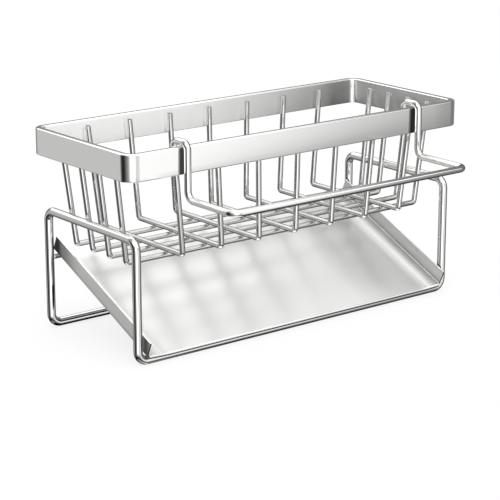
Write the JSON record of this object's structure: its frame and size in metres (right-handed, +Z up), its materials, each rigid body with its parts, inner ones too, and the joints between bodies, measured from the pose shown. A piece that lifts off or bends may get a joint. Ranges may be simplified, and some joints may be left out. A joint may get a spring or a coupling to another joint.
{
  "type": "sink organizer",
  "caption": "Open wire basket with a flat-bar rim on a bent wire stand, with a sloping drip tray below and a towel bar hooked over the front rim.",
  "frame": {"origin": "middle of the bounding box, on the counter that the two rails rest on", "axes": "+X along the organizer's length, -Y to its front where the towel bar is, +Z up"},
  "size_m": [0.244, 0.1416, 0.1239],
  "materials": {
    "rim_band": "satin",
    "basket_wire": "polished",
    "stand_wire": "polished",
    "tray_sheet": "satin",
    "towel_rod": "polished"
  },
  "bodies": {
    "basket_and_stand": {"rim_band": "rim_band", "cross_wire_1": "basket_wire", "cross_wire_2": "basket_wire", "cross_wire_3": "basket_wire", "cross_wire_4": "basket_wire", "cross_wire_5": "basket_wire", "cross_wire_6": "basket_wire", "cross_wire_7": "basket_wire", "long_wire_1": "basket_wire", "long_wire_2": "basket_wire", "long_wire_3": "basket_wire", "long_wire_4": "basket_wire", "stand_frame": "stand_wire", "tray_rail": "stand_wire"},
    "tray": {"drip_tray": "tray_sheet"},
    "towel_bar_body": {"towel_bar": "towel_rod"}
  },
  "joints": [
    {"name": "tray_slide", "type": "slide", "parent": "basket_and_stand", "child": "tray", "axis": [0, -1, 0], "range_m": [0, 0.08]},
    {"name": "towel_bar_lift", "type": "slide", "parent": "basket_and_stand", "child": "towel_bar_body", "axis": [0, 0, 1], "range_m": [0, 0.016]}
  ]
}
